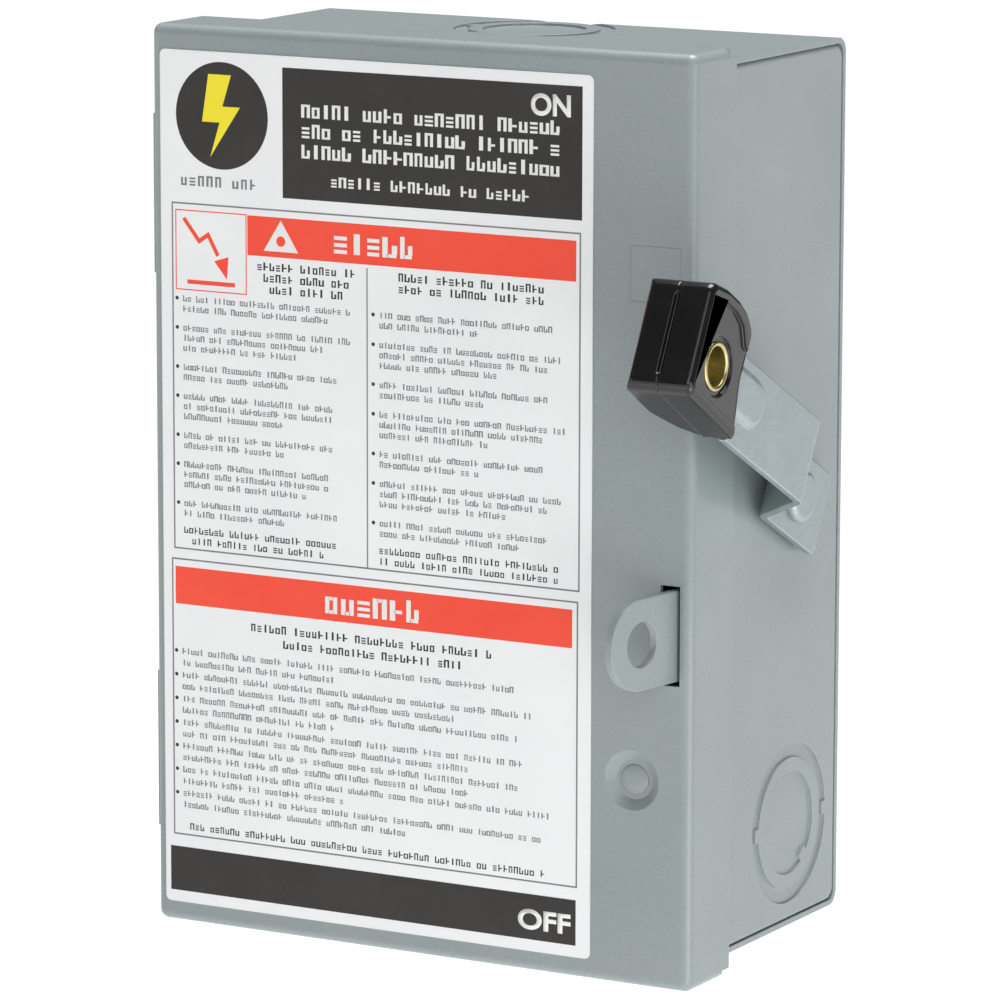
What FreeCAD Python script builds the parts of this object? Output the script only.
import FreeCAD, Part
import Sketcher
import math
import os

# Enclosed safety switch (an air-conditioner disconnect box): a painted sheet-steel box with a
# side-hinged cover, a padlock hasp, a Z-bent operating handle with a moulded grip, and a two-pole
# blade switch with two plug-fuse sockets inside.
#
# Frame: millimetres, +Z up, +X to the viewer's right, front facing -Y. The origin is the centre of
# the four wall holes, on the outside of the back panel.

doc = FreeCAD.newDocument("safety_switch")

# ---------------------------------------------------------------- driving dimensions

DIMENSIONS = {
    # box
    "box_width": 124.8, "box_height": 187.2, "overall_depth": 72.7, "gauge": 1.2,
    "bend_inside": 2.0, "wall_setback": 4.0, "wall_flange": 9.2, "wall_edge_round": 1.1,
    "weld_gap": 0.05,
    # cover
    "cover_width": 129.2, "cover_height": 193.4, "cover_shift": -0.4, "cover_flange": 18.0,
    "cover_round": 2.2, "cover_corner": 2.0, "corner_notch": 1.6, "notch_depth": 3.0,
    # knockouts, for 1/2, 3/4 and 1 inch conduit
    "ko_small": 11.1, "ko_medium": 14.1, "ko_large": 17.25, "ko_step": 0.6,
    "ko_tie_width": 3.0, "ko_tie_run": 1.6,
    "side_ko_y": -23.1, "side_ko_z": -71.3, "top_ko_x": -2.5, "top_ko_y": -18.2,
    # wall holes
    "wall_hole_radius": 3.2, "wall_hole_x": 38.1, "wall_hole_z": 85.7,
    # hasp
    "hasp_thickness": 1.9, "hasp_height": 19.0, "hasp_z": -22.5, "hasp_root_y": -50.0,
    "hasp_bend_y": -71.9, "hasp_lean": 11.0, "hasp_reach": 21.5, "hasp_hole_reach": 11.7,
    "hasp_hole_radius": 4.7, "hasp_end_round": 9.3,
    "slot_left": 57.4, "slot_right": 61.9, "slot_height": 20.8,
    # cover details
    "dimple_x": 51.0, "dimple_z": -53.6, "dimple_radius": 6.3, "dimple_floor": 4.2,
    "dimple_depth": 1.5, "mark_left": 49.9, "mark_side": 11.8, "mark_bottom": 45.7,
    "mark_groove": 0.4, "mark_depth": 0.12,
    "label_left": -62.1, "label_right": 41.5, "label_bottom": -92.6, "label_top": 91.1,
    "label_corner": 1.3, "label_thickness": 0.25,
    # hinges
    "hinge_x": -67.0, "hinge_y": -54.7, "hinge_z": 60.0, "knuckle_radius": 2.2,
    "pin_radius": 1.25, "pin_clearance": 0.05, "leaf_thickness": 1.0, "leaf_half_height": 17.0,
    "middle_knuckle": 5.8, "knuckle_gap": 0.2, "rivet_shank": 1.5, "rivet_head": 2.4,
    # handle
    "pivot_y": -27.0, "pivot_z": 0.0, "rest_angle": 27.7, "arm_width": 18.0,
    "arm_thickness": 1.8, "base_x": 64.9, "arm_offset": 14.0, "base_rear": -13.3,
    "joggle_start": 12.0, "joggle_run": 13.4, "arm_end": 84.0, "tang_start": 63.8,
    "tang_low": -6.0, "bend_tight": 1.5,
    "rib_start": 57.2, "rib_end": 69.0, "rib_radius": 5.3, "rib_centre": 1.4, "rib_rise": 1.2,
    # grip
    "grip_rear": 63.9, "grip_front": 87.8, "grip_low": -8.6, "grip_high": 17.2,
    "grip_inner_x": 67.2, "grip_seam_x": 74.4, "grip_outer_x": 82.0, "recess_depth": 0.8,
    "eyelet_well": 6.0, "well_depth": 0.7,
    "eyelet_reach": 76.8, "eyelet_rise": 2.2, "eyelet_bore": 4.0, "eyelet_barrel": 4.55,
    "eyelet_flange": 5.1, "eyelet_lip": 0.5,
    # shaft and rotor
    "shaft_radius": 4.0, "tenon_radius": 3.0, "shaft_head_radius": 5.6, "shaft_head_rise": 2.0,
    "bush_radius": 5.5, "bush_flange": 7.0, "run_clearance": 0.06, "fit_clearance": 0.02,
    "rotor_radius": 7.0, "journal_radius": 6.0, "rotor_shoulder": 43.0, "rotor_end": 50.0,
    # switch base and current path
    "base_half_width": 50.0, "base_floor": 7.0, "base_low": -80.0, "base_high": 50.0,
    "cheek_inner": 43.4, "cheek_outer": 49.6, "cheek_half_height": 11.0, "cheek_front": 38.0,
    "pole_x": 21.0, "blade_thickness": 1.6, "blade_half_width": 4.5, "blade_half_length": 18.0,
    "jaw_gap": 0.06, "jaw_leaf": 1.2, "strap_half_width": 5.0, "strap_thickness": 1.5,
    "fuse_z": -46.0, "socket_radius": 14.0, "shell_radius": 13.4, "shell_wall": 0.6,
    "lug_half_width": 5.5, "lug_length": 12.0, "wire_hole_radius": 3.0, "lug_screw_radius": 2.3,
}

sheet = doc.addObject("Spreadsheet::Sheet", "dims")
for row, (alias, number) in enumerate(DIMENSIONS.items(), start=1):
    sheet.set(f"A{row}", str(number))
    sheet.setAlias(f"A{row}", alias)
doc.recompute()


class Size:
    """A measure that carries its number and the expression that the document keeps for it."""

    def __init__(self, value, text):
        self.value = value
        self.text = text

    def __add__(self, other):
        other = as_size(other)
        return Size(self.value + other.value, f"({self.text} + {other.text})")

    def __radd__(self, other):
        return as_size(other) + self

    def __sub__(self, other):
        other = as_size(other)
        return Size(self.value - other.value, f"({self.text} - {other.text})")

    def __rsub__(self, other):
        return as_size(other) - self

    def __mul__(self, other):
        other = as_size(other)
        return Size(self.value * other.value, f"({self.text} * {other.text})")

    __rmul__ = __mul__

    def __truediv__(self, other):
        other = as_size(other)
        return Size(self.value / other.value, f"({self.text} / {other.text})")

    def __neg__(self):
        return Size(-self.value, f"(-1 * {self.text})")


def as_size(number):
    if isinstance(number, Size):
        return number
    return Size(number, f"({number})")


def dim(alias):
    return Size(DIMENSIONS[alias], f"dims.{alias}")


def sine(angle):
    return Size(math.sin(math.radians(angle.value)), f"sin({angle.text} * 1deg)")


def cosine(angle):
    return Size(math.cos(math.radians(angle.value)), f"cos({angle.text} * 1deg)")


# ---------------------------------------------------------------- modelling helpers

VECTOR = FreeCAD.Vector
TURN = {  # turns a cylinder's own +Z onto the named axis
    "X": FreeCAD.Rotation(VECTOR(0, 1, 0), 90),
    "Y": FreeCAD.Rotation(VECTOR(1, 0, 0), -90),
    "Z": FreeCAD.Rotation(),
}
NODES = []


def bind(target, path, wanted):
    target.setExpression(path, as_size(wanted).text)


def place(target, x, y, z, rotation=None):
    """Put an object at a point, with an optional fixed rotation."""
    target.Placement = FreeCAD.Placement(VECTOR(), rotation or FreeCAD.Rotation())
    for letter, wanted in zip("xyz", (x, y, z)):
        bind(target, f"Placement.Base.{letter}", wanted)
    return target


def block(x, y, z):
    """A box between a low and a high value along each axis."""
    solid = doc.addObject("Part::Box", "Block")
    for (low, high), edge in zip((x, y, z), ("Length", "Width", "Height")):
        bind(solid, edge, as_size(high) - low)
    return place(solid, x[0], y[0], z[0])


def rod(axis, x, y, z, radius, length):
    """A cylinder that starts at a point and runs in the axis's positive direction."""
    solid = doc.addObject("Part::Cylinder", "Rod")
    bind(solid, "Radius", radius)
    bind(solid, "Height", length)
    return place(solid, x, y, z, TURN[axis])


def fuse(*parts):
    if len(parts) == 1:
        return parts[0]
    joined = doc.addObject("Part::MultiFuse", "Joined")
    joined.Shapes = list(parts)
    return joined


def cut(base, *tools):
    result = doc.addObject("Part::Cut", "Cut")
    result.Base = base
    result.Tool = fuse(*tools)
    return result


def group(*parts):
    """Identical pieces kept as separate solids in one node."""
    pieces = doc.addObject("Part::Compound", "Group")
    pieces.Links = list(parts)
    return pieces


def edge_numbers(shape, wanted):
    return [number for number, edge in enumerate(shape.Edges, start=1) if wanted(edge)]


def rounded(base, radius, wanted):
    """Round the edges that a test picks."""
    doc.recompute()
    picked = edge_numbers(base.Shape, wanted)
    if not picked:
        raise RuntimeError(f"no edge to round on {base.Label}")
    result = doc.addObject("Part::Fillet", "Rounded")
    result.Base = base
    value = as_size(radius).value
    result.Edges = [(number, value, value) for number in picked]
    return result


def body_sketch(body, plane, offset, corners):
    """A closed outline on an origin plane of the body, each corner bound to the sheet."""
    outline = body.newObject("Sketcher::SketchObject", "Outline")
    origin = [item for item in body.Origin.OriginFeatures if item.Role == plane]
    outline.AttachmentSupport = [(origin[0], "")]
    outline.MapMode = "FlatFace"
    bind(outline, "AttachmentOffset.Base.z", offset)
    corners = [(as_size(across), as_size(up)) for across, up in corners]
    count = len(corners)
    for index in range(count):
        start = corners[index]
        end = corners[(index + 1) % count]
        outline.addGeometry(Part.LineSegment(VECTOR(start[0].value, start[1].value, 0),
                                             VECTOR(end[0].value, end[1].value, 0)))
    for index in range(count):
        outline.addConstraint(Sketcher.Constraint("Coincident", index, 2, (index + 1) % count, 1))
    for index, corner in enumerate(corners):
        for kind, wanted in zip(("DistanceX", "DistanceY"), corner):
            number = outline.addConstraint(
                Sketcher.Constraint(kind, -1, 1, index, 1, wanted.value))
            outline.setExpression(f"Constraints[{number}]", wanted.text)
    return outline


def padded_body(plane, offset, corners, length, backwards=False):
    """A body padded from one outline; backwards pads against the plane's normal."""
    body = doc.addObject("PartDesign::Body", "Body")
    pad = body.newObject("PartDesign::Pad", "Pad")
    pad.Profile = body_sketch(body, plane, offset, corners)
    bind(pad, "Length", length)
    pad.Reversed = backwards
    doc.recompute()
    return body


def pocketed(body, plane, offset, corners, length, backwards=False):
    """Cut an outline out of a body, and make sure that it did cut."""
    before = body.Shape.Volume
    pocket = body.newObject("PartDesign::Pocket", "Pocket")
    pocket.Profile = body_sketch(body, plane, offset, corners)
    bind(pocket, "Length", length)
    pocket.Reversed = backwards
    doc.recompute()
    if not body.Shape.Volume < before - 1e-6:
        raise RuntimeError("a pocket removed nothing")
    return body


def body_fillet(body, radius, wanted):
    """Round the edges of a body's newest feature that a test picks."""
    tip = body.Tip
    picked = edge_numbers(tip.Shape, wanted)
    if not picked:
        raise RuntimeError("no edge to round on a body")
    fillet = body.newObject("PartDesign::Fillet", "Fillet")
    fillet.Base = (tip, [f"Edge{number}" for number in picked])
    bind(fillet, "Radius", radius)
    doc.recompute()
    return body


def rectangle(across, up):
    return [(across[0], up[0]), (across[1], up[0]), (across[1], up[1]), (across[0], up[1])]


def near(value, wanted, tolerance=0.02):
    return abs(value - as_size(wanted).value) < tolerance


def runs_along(edge, axis):
    """True for a straight edge parallel to X, Y or Z."""
    if not isinstance(edge.Curve, Part.Line):
        return False
    direction = edge.tangentAt(edge.FirstParameter)
    return abs(abs(getattr(direction, axis.lower())) - 1) < 1e-6


def at(edge, **wanted):
    """True when the middle of the edge's box has the given coordinates."""
    centre = edge.BoundBox.Center
    return all(near(getattr(centre, letter), value) for letter, value in wanted.items())


def node(label, piece):
    piece.Label = label
    NODES.append(piece)
    return piece


# ---------------------------------------------------------------- shared measures

gauge = dim("gauge")
half_box = dim("box_width") / 2
half_high = dim("box_height") / 2
front_y = -dim("overall_depth")
wall_front = front_y + dim("wall_setback")
back_inside = -gauge
pivot_y = dim("pivot_y")
pivot_z = dim("pivot_z")
pole_positions = (-dim("pole_x"), dim("pole_x"))
both_sides = (-1, 1)

# ---------------------------------------------------------------- knockouts
# Concentric half-sheared steps: the ring between the large and medium sizes and the disc inside
# the small size are pushed in by half a sheet, and small ties bridge each sheared edge.


def knockout_ring(outer, inner, low, high):
    ring = rod("Z", 0, 0, low, outer, as_size(high) - low)
    if inner is None:
        return ring
    return cut(ring, rod("Z", 0, 0, low - 1, inner, as_size(high) - low + 2))


def knockout_tie(radius, inwards, angle):
    """A bridge of unsheared sheet at one edge; inwards is -1 inside the edge and 1 outside."""
    half = dim("ko_tie_width") / 2
    run = dim("ko_tie_run")
    low = radius - 0.3 if inwards > 0 else radius - run
    high = radius + run if inwards > 0 else radius + 0.3
    tie = block((low, high), (-half, half), (-dim("ko_step") - 0.2, 0.2))
    turned = doc.addObject("Part::Compound", "Tie")
    turned.Links = [tie]
    turned.Placement = FreeCAD.Placement(VECTOR(), FreeCAD.Rotation(VECTOR(0, 0, 1), angle))
    return turned


def knockout(rotation, x, y, z, tie_turn):
    """The material to cut from the outside and the material to add inside, at one knockout."""
    step = dim("ko_step")
    large, medium, small = dim("ko_large"), dim("ko_medium"), dim("ko_small")
    ring = cut(knockout_ring(large, medium, -step, 0.3),
               knockout_tie(large, -1, tie_turn), knockout_tie(medium, 1, tie_turn + 180))
    disc = cut(knockout_ring(small, None, -step, 0.3), knockout_tie(small, -1, tie_turn - 50))
    outside = group(ring, disc)
    inside = group(knockout_ring(large, medium, -gauge - step, -gauge),
                   knockout_ring(small, None, -gauge - step, -gauge))
    return place(outside, x, y, z, rotation), place(inside, x, y, z, rotation)


# ---------------------------------------------------------------- box
# The wrapper is one sheet bent into the top, back and bottom. The two side walls are shallow pans
# whose flanges are spot-welded inside it.


def wrapper():
    outer_bend = dim("bend_inside") + gauge
    body = padded_body("YZ_Plane", -half_box, [
        (wall_front, half_high), (0, half_high), (0, -half_high), (wall_front, -half_high),
        (wall_front, -half_high + gauge), (back_inside, -half_high + gauge),
        (back_inside, half_high - gauge), (wall_front, half_high - gauge),
    ], dim("box_width"))
    body_fillet(body, outer_bend, lambda edge: runs_along(edge, "X") and at(edge, y=0))
    body_fillet(body, dim("bend_inside"),
                lambda edge: runs_along(edge, "X") and at(edge, y=back_inside))
    top_cut, top_add = knockout(FreeCAD.Rotation(), dim("top_ko_x"), dim("top_ko_y"),
                                half_high, 0)
    low_cut, low_add = knockout(FreeCAD.Rotation(VECTOR(1, 0, 0), 180), dim("top_ko_x"),
                                dim("top_ko_y"), -half_high, 0)
    holes = [rod("Y", side * dim("wall_hole_x"), -gauge - 1, level * dim("wall_hole_z"),
                 dim("wall_hole_radius"), gauge + 2)
             for side in both_sides for level in both_sides]
    holes += [rod("Y", x, -gauge - 1, z, BASE_SCREW_RADIUS + 0.05, gauge + 2)
              for x, z in BASE_SCREWS + FLOOR_SCREWS]
    return fuse(cut(body, top_cut, low_cut, *holes), top_add, low_add)


def side_wall(side):
    """side is 1 for the handle side and -1 for the hinge side."""
    reach = half_high - gauge - dim("weld_gap")
    rear = back_inside - dim("weld_gap")
    inner_plane = half_box - dim("wall_flange")
    start = inner_plane if side > 0 else -inner_plane
    body = padded_body("YZ_Plane", start, rectangle((wall_front, rear), (-reach, reach)),
                       dim("wall_flange"), backwards=side < 0)
    body_fillet(body, dim("bend_inside") + 1.0, lambda edge: runs_along(edge, "X") and at(edge, y=rear))
    body_fillet(body, dim("wall_edge_round"), lambda edge: near(edge.BoundBox.Center.x, side * half_box)
                and near(edge.BoundBox.XLength, 0) and not at(edge, y=wall_front))
    pocketed(body, "YZ_Plane", start,
             rectangle((wall_front - 1, rear - gauge), (gauge - reach, reach - gauge)),
             dim("wall_flange") - gauge, backwards=side > 0)
    turn = FreeCAD.Rotation(VECTOR(0, 1, 0), 90 * side)
    ko_cut, ko_add = knockout(turn, side * half_box, dim("side_ko_y"), dim("side_ko_z"), 90)
    tools = [ko_cut]
    if side > 0:
        tools.append(rod("X", half_box - 5, pivot_y, pivot_z, dim("bush_radius") + 0.05, 10))
    else:
        tools += [rod("X", -half_box - 5, y, z, dim("rivet_shank"), 10) for y, z in BOX_RIVETS]
    return fuse(cut(body, *tools), ko_add)


# The hasp is a steel tongue welded inside the handle-side wall; it comes out through the cover's
# slot and leans towards the hinge, so that the cover clears it as it swings.


def hasp():
    lean = dim("hasp_lean")
    right = half_box - gauge
    left = right - dim("hasp_thickness")
    bend_y = dim("hasp_bend_y")
    tip_x = dim("hasp_reach") * sine(lean)
    tip_y = dim("hasp_reach") * cosine(lean)
    end_x = dim("hasp_thickness") * cosine(lean)
    end_y = dim("hasp_thickness") * sine(lean)
    low = dim("hasp_z") - dim("hasp_height") / 2
    body = padded_body("XY_Plane", low, [
        (right, dim("hasp_root_y")), (right, bend_y), (right - tip_x, bend_y - tip_y),
        (right - tip_x - end_x, bend_y - tip_y + end_y), (left, bend_y), (left, dim("hasp_root_y")),
    ], dim("hasp_height"))
    body_fillet(body, dim("hasp_end_round"), lambda edge: isinstance(edge.Curve, Part.Line)
                and near(edge.Length, dim("hasp_thickness"), 0.01)
                and edge.BoundBox.Center.y < bend_y.value - 5)
    turn = FreeCAD.Rotation(VECTOR(0, 0, 1), -lean.value) * TURN["X"]
    hole = doc.addObject("Part::Cylinder", "Rod")
    bind(hole, "Radius", dim("hasp_hole_radius"))
    bind(hole, "Height", 12)
    place(hole, right - dim("hasp_hole_reach") * sine(lean) - 6 * cosine(lean),
          bend_y - dim("hasp_hole_reach") * cosine(lean) + 6 * sine(lean), dim("hasp_z"), turn)
    return cut(body, hole)


# ---------------------------------------------------------------- hinges
# Two loose-joint butt hinges: the box leaf carries the two outer knuckles, the cover leaf the
# middle one, and a pin runs through all three.

hinge_x = dim("hinge_x")
hinge_y = dim("hinge_y")
leaf = dim("leaf_thickness")
cover_left = -dim("cover_width") / 2
BOX_LEAF_REAR = -36.0
COVER_LEAF_FRONT = -70.2
BOX_RIVETS = [(-43.0, level * 60.0 + step * 11.0) for level in both_sides for step in both_sides]
COVER_RIVETS = [(-65.0, level * 60.0 + step * 11.0) for level in both_sides for step in both_sides]


def knuckle(low, high, bore):
    barrel = rod("Z", hinge_x, hinge_y, low, dim("knuckle_radius"), as_size(high) - low)
    return barrel, rod("Z", hinge_x, hinge_y, low - 1, bore, as_size(high) - low + 2)


def box_leaf(level):
    centre = level * dim("hinge_z")
    low, high = centre - dim("leaf_half_height"), centre + dim("leaf_half_height")
    gap_low = centre - dim("middle_knuckle") - dim("knuckle_gap")
    gap_high = centre + dim("middle_knuckle") + dim("knuckle_gap")
    plate = block((-half_box - leaf, -half_box), (hinge_y + 1.0, BOX_LEAF_REAR), (low, high))
    arms, bores = [], []
    for start, end in ((low, gap_low), (gap_high, high)):
        barrel, bore = knuckle(start, end, dim("pin_radius") + dim("fit_clearance"))
        web = block((hinge_x, -half_box), (hinge_y + 1.0, hinge_y + 2.0), (start, end))
        arms += [barrel, web]
        bores.append(bore)
    rivet_holes = [rod("X", -half_box - 5, y, z, dim("rivet_shank"), 10) for y, z in BOX_RIVETS]
    return cut(fuse(plate, *arms), *bores, *rivet_holes)


def cover_leaf(level):
    centre = level * dim("hinge_z")
    low, high = centre - dim("leaf_half_height"), centre + dim("leaf_half_height")
    middle = (centre - dim("middle_knuckle"), centre + dim("middle_knuckle"))
    plate = block((cover_left - leaf, cover_left), (COVER_LEAF_FRONT, hinge_y - 2.6), (low, high))
    barrel, bore = knuckle(middle[0], middle[1], dim("pin_radius") + dim("pin_clearance"))
    web = block((hinge_x, cover_left), (hinge_y - 2.6, hinge_y - 1.5), middle)
    link = block((cover_left - leaf, cover_left), (hinge_y - 3.0, hinge_y - 1.5), middle)
    rivet_holes = [rod("X", cover_left - 5, y, z, dim("rivet_shank"), 10) for y, z in COVER_RIVETS]
    return cut(fuse(plate, barrel, web, link), bore, *rivet_holes)


def hinge_pin(level):
    centre = level * dim("hinge_z")
    shank = rod("Z", hinge_x, hinge_y, centre - dim("leaf_half_height"), dim("pin_radius"),
                2 * dim("leaf_half_height"))
    head = rod("Z", hinge_x, hinge_y, centre + dim("leaf_half_height"), 1.9, 1.0)
    return fuse(shank, head)


def side_rivet(outer_x, grip, y, z):
    """A rivet through a leaf and the sheet behind it, with a low round head at each end."""
    shank = rod("X", outer_x, y, z, dim("rivet_shank") - dim("fit_clearance"), grip)
    head = rounded(rod("X", outer_x - 0.9, y, z, dim("rivet_head"), 0.9), 0.7,
                   lambda edge: near(edge.BoundBox.Center.x, outer_x - 0.9)
                   and near(edge.BoundBox.XLength, 0))
    tail = rod("X", outer_x + grip, y, z, dim("rivet_head") - 0.4, 0.6)
    return fuse(shank, head, tail)


# ---------------------------------------------------------------- cover
# A drawn pan: front face, four flanges with rounded bends, a slot for the hasp, a formed dimple
# for the latch rivet and one half-sheared spare knockout.


def cover_pan():
    half_wide = dim("cover_width") / 2
    low = dim("cover_shift") - dim("cover_height") / 2
    high = dim("cover_shift") + dim("cover_height") / 2
    rear = front_y + dim("cover_flange")
    body = padded_body("XZ_Plane", -front_y, rectangle((-half_wide, half_wide), (low, high)),
                       dim("cover_flange"), backwards=True)
    body_fillet(body, dim("cover_corner"), lambda edge: runs_along(edge, "Y"))
    body_fillet(body, dim("cover_round"), lambda edge: near(edge.BoundBox.Center.y, front_y)
                and near(edge.BoundBox.YLength, 0))
    pocketed(body, "XZ_Plane", -rear, rectangle((gauge - half_wide, half_wide - gauge),
                                                (low + gauge, high - gauge)),
             dim("cover_flange") - gauge, backwards=True)
    slot_half = dim("slot_height") / 2
    slot = block((dim("slot_left"), dim("slot_right")), (front_y - 1, front_y + 4),
                 (dim("hasp_z") - slot_half, dim("hasp_z") + slot_half))
    notch = dim("corner_notch")
    notches = [block((side * half_wide - notch, side * half_wide + notch),
                     (rear - dim("notch_depth"), rear + 1), (level - notch, level + notch))
               for side in both_sides for level in (low, high)]
    x, z = dim("dimple_x"), dim("dimple_z")
    dish = doc.addObject("Part::Cone", "Dish")
    bind(dish, "Radius1", dim("dimple_radius"))
    bind(dish, "Radius2", dim("dimple_floor"))
    bind(dish, "Height", dim("dimple_depth"))
    place(dish, x, front_y, z, TURN["Y"])
    backing = doc.addObject("Part::Cone", "Backing")
    bind(backing, "Radius1", dim("dimple_radius") + gauge)
    bind(backing, "Radius2", dim("dimple_floor") + gauge)
    bind(backing, "Height", dim("dimple_depth"))
    place(backing, x, front_y + gauge, z, TURN["Y"])
    shank_hole = rod("Y", x, front_y - 1, z, dim("rivet_shank"), 8)
    groove, depth = dim("mark_groove"), dim("mark_depth")
    left, bottom = dim("mark_left"), dim("mark_bottom")
    right, top = left + dim("mark_side"), bottom + dim("mark_side")
    mark = cut(block((left, right), (front_y - 1, front_y + depth), (bottom, top)),
               block((left + groove, right - groove), (front_y - 2, front_y + 2),
                     (bottom + groove, top - groove)))
    rivet_holes = [rod("X", cover_left - 3, y, zz, dim("rivet_shank"), 8)
                   for y, zz in COVER_RIVETS]
    return cut(fuse(body, backing), dish, slot, mark, shank_hole, *notches, *rivet_holes)


def front_label():
    left, right = dim("label_left"), dim("label_right")
    bottom, top = dim("label_bottom"), dim("label_top")
    body = padded_body("XZ_Plane", -front_y, rectangle((left, right), (bottom, top)),
                       dim("label_thickness"))
    return body_fillet(body, dim("label_corner"), lambda edge: runs_along(edge, "Y"))


def latch_rivet():
    x, z = dim("dimple_x"), dim("dimple_z")
    floor = front_y + dim("dimple_depth")
    head = rounded(rod("Y", x, floor - 0.8, z, 3.2, 0.8), 0.55,
                   lambda edge: near(edge.BoundBox.Center.y, floor - 0.8)
                   and near(edge.BoundBox.YLength, 0))
    shank = rod("Y", x, floor, z, dim("rivet_shank") - dim("fit_clearance"), gauge + LATCH_SHEET)
    tail = rod("Y", x, floor + gauge + LATCH_SHEET, z, 2.6, 0.7)
    return fuse(head, shank, tail)


LATCH_SHEET = 0.8


def cover_latch():
    """A spring-steel clip that presses lightly on the inside of the handle-side wall."""
    x, z = dim("dimple_x"), dim("dimple_z")
    seat = front_y + dim("dimple_depth") + gauge
    wall_face = half_box - gauge - 0.25
    foot = block((x - 5.0, wall_face), (seat, seat + LATCH_SHEET), (z - 5.0, z + 5.0))
    tongue = block((wall_face - LATCH_SHEET, wall_face), (seat, seat + 12.0), (z - 5.0, z + 5.0))
    hole = rod("Y", x, seat - 1, z, dim("rivet_shank"), 4)
    return cut(fuse(foot, tongue), hole)


# ---------------------------------------------------------------- handle
# The handle pieces are drawn about the pivot with the arm pointing straight forward, then turned
# up to the ON position. Forward is -Y, so a reach of s lies at y = -s.


def at_rest(piece):
    """Turn a handle piece up to ON and carry it to the pivot."""
    place(piece, 0, pivot_y, pivot_z, FreeCAD.Rotation(VECTOR(1, 0, 0), -DIMENSIONS["rest_angle"]))
    return piece


def handle_arm():
    half_thick = dim("arm_thickness") / 2
    base_x = dim("base_x")
    arm_x = base_x + dim("arm_offset")
    bend_angle = math.atan2(DIMENSIONS["arm_offset"], DIMENSIONS["joggle_run"])
    mitre = Size(half_thick.value * math.tan(bend_angle / 2),
                 f"({half_thick.text} * tan(atan(dims.arm_offset / dims.joggle_run) / 2))")
    start = dim("joggle_start")
    end = start + dim("joggle_run")
    tang = dim("tang_start")
    rear = dim("base_rear")
    half_wide = dim("arm_width") / 2
    body = padded_body("XY_Plane", -half_wide, [
        (base_x - half_thick, -rear), (base_x + half_thick, -rear),
        (base_x + half_thick, -start + mitre), (arm_x + half_thick, -end + mitre),
        (arm_x + half_thick, -tang), (arm_x - half_thick, -tang),
        (arm_x - half_thick, -end - mitre), (base_x - half_thick, -start - mitre),
    ], dim("arm_width"))
    tight = dim("bend_tight")
    body_fillet(body, tight, lambda edge: runs_along(edge, "Z") and (
        at(edge, x=base_x + half_thick, y=-start + mitre)
        or at(edge, x=arm_x - half_thick, y=-end - mitre)))
    body_fillet(body, tight + dim("arm_thickness"), lambda edge: runs_along(edge, "Z") and (
        at(edge, x=arm_x + half_thick, y=-end + mitre)
        or at(edge, x=base_x - half_thick, y=-start - mitre)))
    body_fillet(body, 2.0, lambda edge: runs_along(edge, "X") and at(edge, y=-rear))
    tongue = block((arm_x - half_thick, arm_x + half_thick), (-dim("arm_end"), -tang),
                   (dim("tang_low"), half_wide))
    rib_low = dim("rib_centre") - dim("rib_radius")
    rib_high = dim("rib_centre") + dim("rib_radius")
    rib = fuse(block((arm_x, arm_x + half_thick + dim("rib_rise")),
                     (-dim("rib_end"), -dim("rib_start")), (rib_low, rib_high)),
               rod("X", arm_x, -dim("rib_start"), dim("rib_centre"), dim("rib_radius"),
                   half_thick + dim("rib_rise")))
    rib_face = arm_x + half_thick + dim("rib_rise")
    soft_rib = rounded(rib, 1.9, lambda edge: near(edge.BoundBox.Center.x, rib_face)
                       and near(edge.BoundBox.XLength, 0) and not at(edge, y=-dim("rib_end")))
    pivot_hole = rod("X", base_x - 5, 0, 0, dim("tenon_radius") + dim("fit_clearance"), 10)
    eyelet_hole = rod("X", arm_x - 5, -dim("eyelet_reach"), dim("eyelet_rise"),
                      dim("eyelet_barrel") + 0.1, 10)
    return at_rest(cut(fuse(body, tongue, soft_rib), pivot_hole, eyelet_hole))


def grip_outline():
    """The grip seen from the side, as (y, z) corners before its corners are rounded."""
    rear, front = -dim("grip_rear"), -dim("grip_front")
    low, high = dim("grip_low"), dim("grip_high")
    return [(rear, low), (rear - 3.0, high - 14.2), (rear - 2.4, high - 4.0),
            (rear - 6.1, high - 1.3), (rear - 11.1, high - 0.2), (rear - 16.6, high),
            (front, high - 1.0), (front, low + 1.6)]


def grip_prism(low_x, high_x):
    body = padded_body("YZ_Plane", low_x, grip_outline(), high_x - low_x)
    rear, front = -dim("grip_rear"), -dim("grip_front")
    high = dim("grip_high")
    body_fillet(body, 2.6, lambda edge: runs_along(edge, "X") and at(edge, y=front))
    body_fillet(body, 12.0, lambda edge: runs_along(edge, "X")
                and at(edge, y=rear - 3.0, z=high - 14.2))
    body_fillet(body, 4.0, lambda edge: runs_along(edge, "X")
                and at(edge, y=rear - 2.4, z=high - 4.0))
    body_fillet(body, 7.0, lambda edge: runs_along(edge, "X") and (
        at(edge, y=rear - 6.1, z=high - 1.3) or at(edge, y=rear - 11.1, z=high - 0.2)
        or at(edge, y=rear - 16.6, z=high)))
    return body


def eyelet_hole(low_x, high_x, radius):
    return rod("X", low_x - 1, -dim("eyelet_reach"), dim("eyelet_rise"), radius,
               as_size(high_x) - low_x + 2)


def seam_groove():
    seam = dim("grip_seam_x")
    front = -dim("grip_front")
    return block((seam - 0.45, seam + 0.45), (front - 1, front + 0.8), (-3.5, 13.2))


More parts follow.
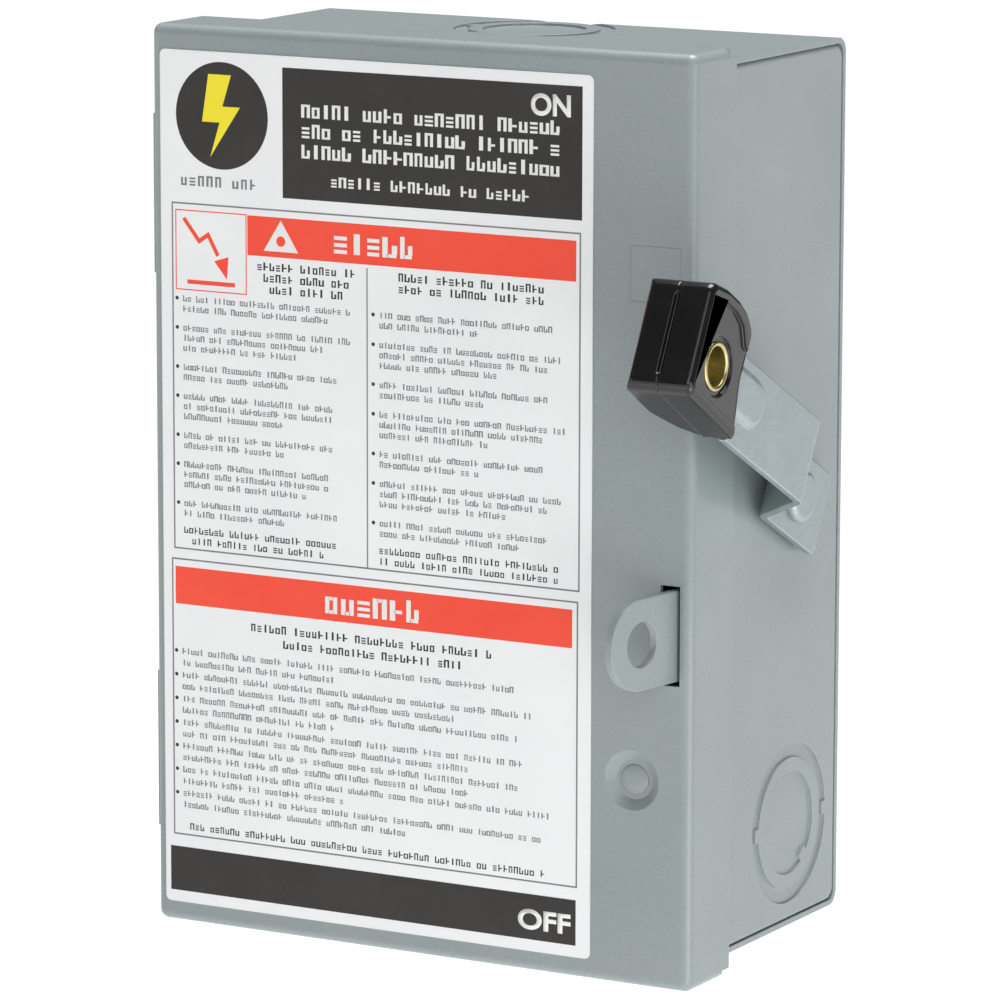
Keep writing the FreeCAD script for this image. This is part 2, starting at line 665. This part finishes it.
def grip_outer_half():
    seam, outer = dim("grip_seam_x"), dim("grip_outer_x")
    body = grip_prism(seam, outer)
    body_fillet(body, 1.5, lambda edge: near(edge.BoundBox.Center.x, outer)
                and near(edge.BoundBox.XLength, 0))
    rear, front = -dim("grip_rear"), -dim("grip_front")
    low, high = dim("grip_low"), dim("grip_high")
    pocketed(body, "YZ_Plane", outer, [
        (rear + 1.0, low + 2.2), (rear + 1.0, high - 10.2), (rear - 4.5, high - 7.8),
        (rear - 7.3, high - 4.4), (rear - 11.5, high - 2.9), (rear - 16.6, high - 2.6),
        (front + 1.6, high - 3.6), (front + 1.6, low + 3.7),
    ], dim("recess_depth"))
    arm_x = dim("base_x") + dim("arm_offset")
    half_thick = dim("arm_thickness") / 2
    slot = block((arm_x - half_thick - 0.03, arm_x + half_thick + 0.03),
                 (-dim("arm_end") - 0.1, rear + 2), (dim("tang_low") - 0.05,
                                                     dim("arm_width") / 2 + 0.05))
    rib_slot = block((arm_x, arm_x + half_thick + dim("rib_rise") + 0.03),
                     (-dim("rib_end") - 0.1, rear + 2),
                     (dim("rib_centre") - dim("rib_radius") - 0.05,
                      dim("rib_centre") + dim("rib_radius") + 0.05))
    bore = eyelet_hole(seam, outer, dim("eyelet_barrel") + dim("fit_clearance"))
    well = rod("X", outer - dim("recess_depth") - dim("well_depth"), -dim("eyelet_reach"),
               dim("eyelet_rise"), dim("eyelet_well"), 3)
    return at_rest(cut(body, slot, rib_slot, seam_groove(), bore, well))


def grip_inner_half():
    inner, seam = dim("grip_inner_x"), dim("grip_seam_x")
    side = grip_prism(inner, seam)
    rear, front = -dim("grip_rear"), -dim("grip_front")
    plan = padded_body("XY_Plane", dim("grip_low") - 1, [
        (inner, front), (seam, front), (seam, rear), (inner + 3.2, rear - 4.0),
        (inner, rear - 11.0),
    ], dim("grip_high") - dim("grip_low") + 2)
    body_fillet(plan, 2.2, lambda edge: runs_along(edge, "Z") and at(edge, x=inner, y=front))
    body_fillet(plan, 8.0, lambda edge: runs_along(edge, "Z") and (
        at(edge, x=inner, y=rear - 11.0) or at(edge, x=inner + 3.2, y=rear - 4.0)))
    both = doc.addObject("Part::Common", "Common")
    both.Base = side
    both.Tool = plan
    bore = eyelet_hole(inner, seam, dim("eyelet_barrel") + dim("fit_clearance"))
    return at_rest(cut(both, seam_groove(), bore))


def grip_eyelet():
    """A rolled brass tube that clamps the two halves and takes the padlock."""
    inner = dim("grip_inner_x")
    face = dim("grip_outer_x") - dim("recess_depth") - dim("well_depth")
    lip = dim("eyelet_lip")
    reach, rise = -dim("eyelet_reach"), dim("eyelet_rise")
    barrel = rod("X", inner - lip, reach, rise, dim("eyelet_barrel"), face - inner + 2 * lip)
    outer_lip = rounded(rod("X", face, reach, rise, dim("eyelet_flange"), lip), 0.3,
                        lambda edge: near(edge.BoundBox.Center.x, face + lip)
                        and near(edge.BoundBox.XLength, 0))
    inner_lip = rod("X", inner - lip, reach, rise, dim("eyelet_flange"), lip)
    bore = eyelet_hole(inner - lip, face + lip, dim("eyelet_bore"))
    return at_rest(cut(fuse(barrel, outer_lip, inner_lip), bore))


def drive_shaft():
    """From the rotor out through the wall bush, with a tenon staked over the handle's base."""
    base_face = dim("base_x") - dim("arm_thickness") / 2
    outer_face = dim("base_x") + dim("arm_thickness") / 2
    shank = rod("X", SHAFT_START, 0, 0, dim("shaft_radius"), base_face - SHAFT_START)
    tenon = rod("X", base_face - 1, 0, 0, dim("tenon_radius"), dim("arm_thickness") + 2)
    crown = outer_face + dim("shaft_head_rise")
    head = rounded(rod("X", outer_face, 0, 0, dim("shaft_head_radius"), dim("shaft_head_rise")),
                   1.5, lambda edge: near(edge.BoundBox.Center.x, crown)
                   and near(edge.BoundBox.XLength, 0))
    return at_rest(fuse(shank, tenon, head))


SHAFT_START = 39.0


def shaft_washer():
    face = dim("base_x") - dim("arm_thickness") / 2
    ring = rod("X", face - 0.5, pivot_y, pivot_z, 8.0, 0.5)
    return cut(ring, rod("X", face - 2, pivot_y, pivot_z, dim("shaft_radius") + 0.03, 4))


def shaft_bushing():
    flange = rod("X", half_box, pivot_y, pivot_z, dim("bush_flange"), 1.0)
    barrel = rod("X", half_box - 5.2, pivot_y, pivot_z, dim("bush_radius"), 5.2)
    bore = rod("X", half_box - 8, pivot_y, pivot_z,
               dim("shaft_radius") + dim("run_clearance"), 12)
    return cut(fuse(flange, barrel), bore)


def bushing_nut():
    """A thin hexagon nut that holds the bush from inside the wall."""
    inner_face = half_box - gauge
    nut = doc.addObject("Part::Prism", "Nut")
    nut.Polygon = 6
    bind(nut, "Circumradius", 8.4)
    bind(nut, "Height", 2.4)
    place(nut, inner_face - 2.4, pivot_y, pivot_z, TURN["X"])
    return cut(nut, rod("X", inner_face - 5, pivot_y, pivot_z,
                        dim("bush_radius") + dim("fit_clearance"), 8))


# The rotor is a moulded bar across both poles. Its journals turn in the base's cheeks, the handle
# shaft is keyed into its handle end, and a copper blade passes through it at each pole.


def rotor():
    shoulder, end = dim("rotor_shoulder"), dim("rotor_end")
    bar = rod("X", -shoulder, pivot_y, pivot_z, dim("rotor_radius"), 2 * shoulder)
    journals = rod("X", -end, pivot_y, pivot_z, dim("journal_radius"), 2 * end)
    socket = rod("X", SHAFT_START - 0.5, pivot_y, pivot_z,
                 dim("shaft_radius") + dim("fit_clearance"), 20)
    half_slot = dim("blade_thickness") / 2 + dim("fit_clearance")
    slot_wide = dim("blade_half_width") + dim("fit_clearance")
    slots = [block((x - half_slot, x + half_slot), (pivot_y - slot_wide, pivot_y + slot_wide),
                   (pivot_z - 10, pivot_z + 10)) for x in pole_positions]
    return cut(fuse(bar, journals), socket, *slots)


def switch_blade(x):
    half = dim("blade_thickness") / 2
    wide, long = dim("blade_half_width"), dim("blade_half_length")
    plate = block((x - half, x + half), (pivot_y - wide, pivot_y + wide),
                  (pivot_z - long, pivot_z + long))
    return rounded(plate, 2.0, lambda edge: runs_along(edge, "X"))


# ---------------------------------------------------------------- switch base
# One moulded block on the back panel: a floor, two cheeks that carry the rotor, a wall between the
# poles, two posts for the line barrier and two pads under the load terminals.

BASE_SCREWS = [(side * 45.5, z) for side in both_sides for z in (24.0, -75.0)]
FLOOR_SCREWS = [(-28.2, 65.0), (-7.8, 65.0), (30.0, 65.0)]
BASE_SCREW_RADIUS = 1.9
POST_Z = 42.0
POST_X = 45.5
CAP_SCREW_Z = 8.5
CAP_SCREW_RADIUS = 1.2
FUSE_BLOCK_FRONT = -30.0
FUSE_BLOCK_SCREWS_Z = (-34.0, -58.0)
PAD_TOP = -10.5
floor_y = -dim("base_floor")
cheek_front = -dim("cheek_front")
cheek_middle = (DIMENSIONS["cheek_inner"] + DIMENSIONS["cheek_outer"]) / 2


def cheek_screw_holes(side):
    return [rod("Y", side * cheek_middle, cheek_front - 6, level * CAP_SCREW_Z,
                CAP_SCREW_RADIUS + 0.02, 16) for level in both_sides]


def saddle(side):
    """The round seat and the open slot above it that a journal drops into."""
    radius = dim("journal_radius") + dim("run_clearance")
    start = -60 if side < 0 else 40
    return (rod("X", start, pivot_y, pivot_z, radius, 20),
            block((start, start + 20), (cheek_front - 1, pivot_y), (-radius, radius)))


def switch_base():
    wide = dim("base_half_width")
    floor = block((-wide, wide), (floor_y, back_inside), (dim("base_low"), dim("base_high")))
    inner, outer = dim("cheek_inner"), dim("cheek_outer")
    tall = dim("cheek_half_height")
    additions, cuts = [], []
    for side in both_sides:
        reach = (inner, outer) if side > 0 else (-outer, -inner)
        additions.append(block(reach, (cheek_front, floor_y), (-tall, tall)))
        additions.append(rod("Y", side * POST_X, cheek_front, POST_Z, 3.6,
                             dim("cheek_front") - dim("base_floor")))
        cuts += saddle(side)
        cuts += cheek_screw_holes(side)
        cuts.append(rod("Y", side * POST_X, cheek_front - 1, POST_Z, 1.52, 12))
    for x in pole_positions:
        additions.append(block((x - 6, x + 6), (PAD_TOP, floor_y), (-79, -64.2)))
    additions.append(block((-1.6, 1.6), (cheek_front, floor_y), (-27.5, 46)))
    cuts.append(block((-3, 3), (cheek_front - 1, -17.5), (-8.6, 8.6)))
    cuts += [rod("Y", x, floor_y - 1, z, BASE_SCREW_RADIUS + 0.05, 8) for x, z in BASE_SCREWS]
    cuts += [rod("Y", 0, floor_y - 1, z, 1.62, 5) for z in FUSE_BLOCK_SCREWS_Z]
    return cut(fuse(floor, *additions), *cuts)


def bearing_cap(side):
    inner, outer = dim("cheek_inner"), dim("cheek_outer")
    reach = (inner, outer) if side > 0 else (-outer, -inner)
    tongue_half = dim("journal_radius")
    plate = block(reach, (cheek_front - 3, cheek_front), (-dim("cheek_half_height"),
                                                         dim("cheek_half_height")))
    tongue = block(reach, (cheek_front, pivot_y - 1.5), (-tongue_half, tongue_half))
    return cut(fuse(plate, tongue), saddle(side)[0], *cheek_screw_holes(side))


def slotted_screw(x, head_y, z, head_radius, head_rise, shank_radius, shank_length):
    """A screw driven along +Y, with a straight slot across a head that ends at head_y."""
    head = rounded(rod("Y", x, head_y, z, head_radius, head_rise), head_rise * 0.45,
                   lambda edge: near(edge.BoundBox.Center.y, head_y)
                   and near(edge.BoundBox.YLength, 0))
    shank = rod("Y", x, as_size(head_y) + head_rise, z, shank_radius, shank_length)
    slot = block((x - head_radius - 1, x + head_radius + 1), (head_y - 1, head_y + head_rise * 0.5),
                 (z - 0.45, z + 0.45))
    return cut(fuse(head, shank), slot)


# ---------------------------------------------------------------- current path


def contact(x, level):
    """A bent copper strip: two jaw leaves, a riser and a strap along the base's floor."""
    half_gap = dim("blade_thickness") / 2 + dim("jaw_gap")
    leaf_outer = half_gap + dim("jaw_leaf")
    rear, front = pivot_y + 5, pivot_y - 5
    strap_face = floor_y - dim("strap_thickness")
    strap_half = dim("strap_half_width")

    def span(near_z, far_z):
        return (near_z, far_z) if level > 0 else (-far_z, -near_z)

    leaves = [block((x + low, x + high), (front, rear), span(12.0, 20.0))
              for low, high in ((-leaf_outer, -half_gap), (half_gap, leaf_outer))]
    riser = block((x - strap_half, x + strap_half), (front, floor_y), span(19.6, 21.0))
    strap_end = 45.0 if level > 0 else 50.5
    strap = block((x - strap_half, x + strap_half), (strap_face, floor_y), span(19.6, strap_end))
    return fuse(*leaves, riser, strap)


def lug(x, seat_y, low_z):
    """A drilled block: the wire enters along Z and the screw comes in from the front."""
    half = dim("lug_half_width")
    depth = 11.5
    high_z = as_size(low_z) + dim("lug_length")
    box = block((x - half, x + half), (as_size(seat_y) - depth, seat_y), (low_z, high_z))
    wire = rod("Z", x, as_size(seat_y) - 5.7, as_size(low_z) - 1, dim("wire_hole_radius"),
               dim("lug_length") + 2)
    middle = as_size(low_z) + dim("lug_length") / 2
    screw = rod("Y", x, as_size(seat_y) - depth - 1, middle, dim("lug_screw_radius") + 0.05,
                depth - 4.7)
    return cut(box, wire, screw)


def lug_screw(x, seat_y, low_z):
    middle = as_size(low_z) + dim("lug_length") / 2
    return slotted_screw(x, as_size(seat_y) - 14.5, middle, 3.2, 1.8, dim("lug_screw_radius"), 5.2)


LINE_LUG_Z = 29.0
LOAD_LUG_Z = -78.0
STRAP_FACE = floor_y - dim("strap_thickness")


def fuse_block():
    """The moulded block that holds the two plug-fuse sockets."""
    fuse_z = dim("fuse_z")
    body = block((-40, 40), (FUSE_BLOCK_FRONT, floor_y), (-64, -28))
    cuts = []
    for x in pole_positions:
        strap_half = dim("strap_half_width") + 0.1
        cuts.append(rod("Y", x, FUSE_BLOCK_FRONT - 1, fuse_z, dim("socket_radius"),
                        PAD_TOP - FUSE_BLOCK_FRONT + 1))
        cuts.append(block((x - strap_half, x + strap_half), (STRAP_FACE - 0.1, floor_y + 1),
                          (-51, -27)))
        cuts.append(rod("Y", x, PAD_TOP - 1, fuse_z, 2.05, 3.4))
        cuts.append(block((x - strap_half, x + strap_half), (PAD_TOP - 0.9, PAD_TOP + 0.05),
                          (-65, -56)))
    cuts += [rod("Y", 0, FUSE_BLOCK_FRONT - 1, z, 1.65, 30) for z in FUSE_BLOCK_SCREWS_Z]
    softened = rounded(body, 2.0, lambda edge: runs_along(edge, "Y"))
    return cut(softened, *cuts)


def fuse_shell(x):
    """A brass screw shell with two rolled threads and a strap out to the load lug."""
    fuse_z = dim("fuse_z")
    radius, wall = dim("shell_radius"), dim("shell_wall")
    depth = 17.0
    mouth = PAD_TOP - depth
    tube = rod("Y", x, mouth, fuse_z, radius, depth)
    hollow = rod("Y", x, mouth - 1, fuse_z, radius - wall, depth + 1 - 0.8)
    centre = rod("Y", x, PAD_TOP - 2, fuse_z, 7.0, 4)
    strap_half = dim("strap_half_width")
    strap = block((x - strap_half, x + strap_half), (PAD_TOP - 0.8, PAD_TOP), (-78, fuse_z - 12.5))
    return fuse(cut(tube, hollow, centre), strap)


def fuse_contact(x):
    button = rod("Y", x, PAD_TOP - 1.5, dim("fuse_z"), 4.2, 1.5)
    shank = rod("Y", x, PAD_TOP - 0.5, dim("fuse_z"), 2.0, STRAP_FACE - PAD_TOP + 0.5)
    return fuse(button, shank)


# ---------------------------------------------------------------- neutral and ground

NEUTRAL_HOLES = (-34.4, -22.0, -14.0, -1.6)
NEUTRAL_Z = (60.0, 70.0)


def neutral_insulator():
    pad = block((-40, 4), (-9, back_inside), (58, 72))
    holes = [rod("Y", x, -10, z, BASE_SCREW_RADIUS + 0.05, 10) for x, z in FLOOR_SCREWS[:2]]
    return cut(rounded(pad, 1.5, lambda edge: runs_along(edge, "Y")), *holes)


def neutral_bar():
    bar = block((-38, 2), (-17.5, -9), NEUTRAL_Z)
    cuts = []
    for x in NEUTRAL_HOLES:
        cuts.append(rod("Z", x, -12.5, NEUTRAL_Z[0] - 1, 2.4, 12))
        cuts.append(rod("Y", x, -18.5, 65, 2.05, 5))
    for x, z in FLOOR_SCREWS[:2]:
        cuts.append(rod("Y", x, -18.5, z, 3.1, 4))
        cuts.append(rod("Y", x, -18.5, z, BASE_SCREW_RADIUS + 0.05, 11))
    return cut(bar, *cuts)


def ground_lug():
    box = block((24, 36), (-11.2, back_inside), NEUTRAL_Z)
    wire = rod("Z", 30, -7.2, NEUTRAL_Z[0] - 1, 2.4, 12)
    screw = rod("Y", 30, -12.2, 65, BASE_SCREW_RADIUS + 0.05, 12)
    return cut(box, wire, screw)


# ---------------------------------------------------------------- line barrier


def line_barrier():
    shield = block((-49, 49), (cheek_front - 0.8, cheek_front), (26, 48))
    holes = [rod("Y", side * POST_X, cheek_front - 2, POST_Z, 1.6, 4) for side in both_sides]
    return cut(rounded(shield, 3.0, lambda edge: runs_along(edge, "Y")), *holes)


# ---------------------------------------------------------------- the sub-parts

node("back_wrapper", wrapper())
node("right_side_wall", side_wall(1))
node("left_side_wall", side_wall(-1))
node("padlock_hasp", hasp())
node("box_hinge_leaves", group(box_leaf(-1), box_leaf(1)))
node("hinge_pins", group(hinge_pin(-1), hinge_pin(1)))
node("box_hinge_rivets", group(*[side_rivet(-half_box - leaf, leaf + gauge, y, z)
                                 for y, z in BOX_RIVETS]))
node("shaft_bushing", shaft_bushing())
node("bushing_nut", bushing_nut())
node("switch_base", switch_base())
node("bearing_caps", group(bearing_cap(-1), bearing_cap(1)))
node("bearing_cap_screws", group(*[
    slotted_screw(side * cheek_middle, cheek_front - 4.4, level * CAP_SCREW_Z, 2.0, 1.4,
                  CAP_SCREW_RADIUS, 10) for side in both_sides for level in both_sides]))
node("base_screws", group(*[slotted_screw(x, floor_y - 2.2, z, 3.6, 2.2, BASE_SCREW_RADIUS, 6.6)
                            for x, z in BASE_SCREWS]))
node("line_contacts", group(*[contact(x, 1) for x in pole_positions]))
node("load_contacts", group(*[contact(x, -1) for x in pole_positions]))
node("line_lugs", group(*[lug(x, STRAP_FACE, LINE_LUG_Z) for x in pole_positions]))
node("line_lug_screws", group(*[lug_screw(x, STRAP_FACE, LINE_LUG_Z) for x in pole_positions]))
node("fuse_block", fuse_block())
node("fuse_block_screws", group(*[slotted_screw(0, FUSE_BLOCK_FRONT - 2.2, z, 3.2, 2.2, 1.6, 26)
                                  for z in FUSE_BLOCK_SCREWS_Z]))
node("fuse_shells", group(*[fuse_shell(x) for x in pole_positions]))
node("fuse_centre_contacts", group(*[fuse_contact(x) for x in pole_positions]))
node("load_lugs", group(*[lug(x, PAD_TOP - 0.8, LOAD_LUG_Z) for x in pole_positions]))
node("load_lug_screws", group(*[lug_screw(x, PAD_TOP - 0.8, LOAD_LUG_Z) for x in pole_positions]))
node("neutral_insulator", neutral_insulator())
node("neutral_bar", neutral_bar())
node("neutral_screws", group(*[slotted_screw(x, -20.5, 65, 2.9, 1.6, 2.0, 4.0)
                               for x in NEUTRAL_HOLES]))
node("neutral_mount_screws", group(*[slotted_screw(x, -16.5, z, 3.0, 2.0, BASE_SCREW_RADIUS, 14.2)
                                     for x, z in FLOOR_SCREWS[:2]]))
node("ground_lug", ground_lug())
node("ground_screw", slotted_screw(30, -13.4, 65, 3.4, 2.2, BASE_SCREW_RADIUS, 11.0))
node("line_barrier", line_barrier())
node("barrier_screws", group(*[slotted_screw(side * POST_X, cheek_front - 0.8 - 2.0, POST_Z, 3.4,
                                             2.0, 1.5, 8) for side in both_sides]))
node("cover_pan", cover_pan())
node("front_label", front_label())
node("wiring_label", block((-45, 20), (front_y + gauge, front_y + gauge + 0.2), (-62, 62)))
node("cover_hinge_leaves", group(cover_leaf(-1), cover_leaf(1)))
node("cover_hinge_rivets", group(*[side_rivet(cover_left - leaf, leaf + gauge, y, z)
                                   for y, z in COVER_RIVETS]))
node("latch_rivet", latch_rivet())
node("cover_latch", cover_latch())
node("handle_arm", handle_arm())
node("grip_outer_half", grip_outer_half())
node("grip_inner_half", grip_inner_half())
node("grip_eyelet", grip_eyelet())
node("drive_shaft", drive_shaft())
node("shaft_washer", shaft_washer())
node("rotor", rotor())
node("switch_blades", group(*[switch_blade(x) for x in pole_positions]))

# ---------------------------------------------------------------- check and write

doc.recompute()
for item in doc.Objects:
    if "Invalid" in item.State or "Error" in item.State:
        raise RuntimeError(f"{item.Name} ({item.Label}) failed to build")
for piece in NODES:
    if piece.Shape.isNull() or not piece.Shape.isValid():
        raise RuntimeError(f"{piece.Label} has no valid shape")

os.makedirs("parts", exist_ok=True)
for piece in NODES:
    piece.Shape.exportStep(f"parts/{piece.Label}.step")
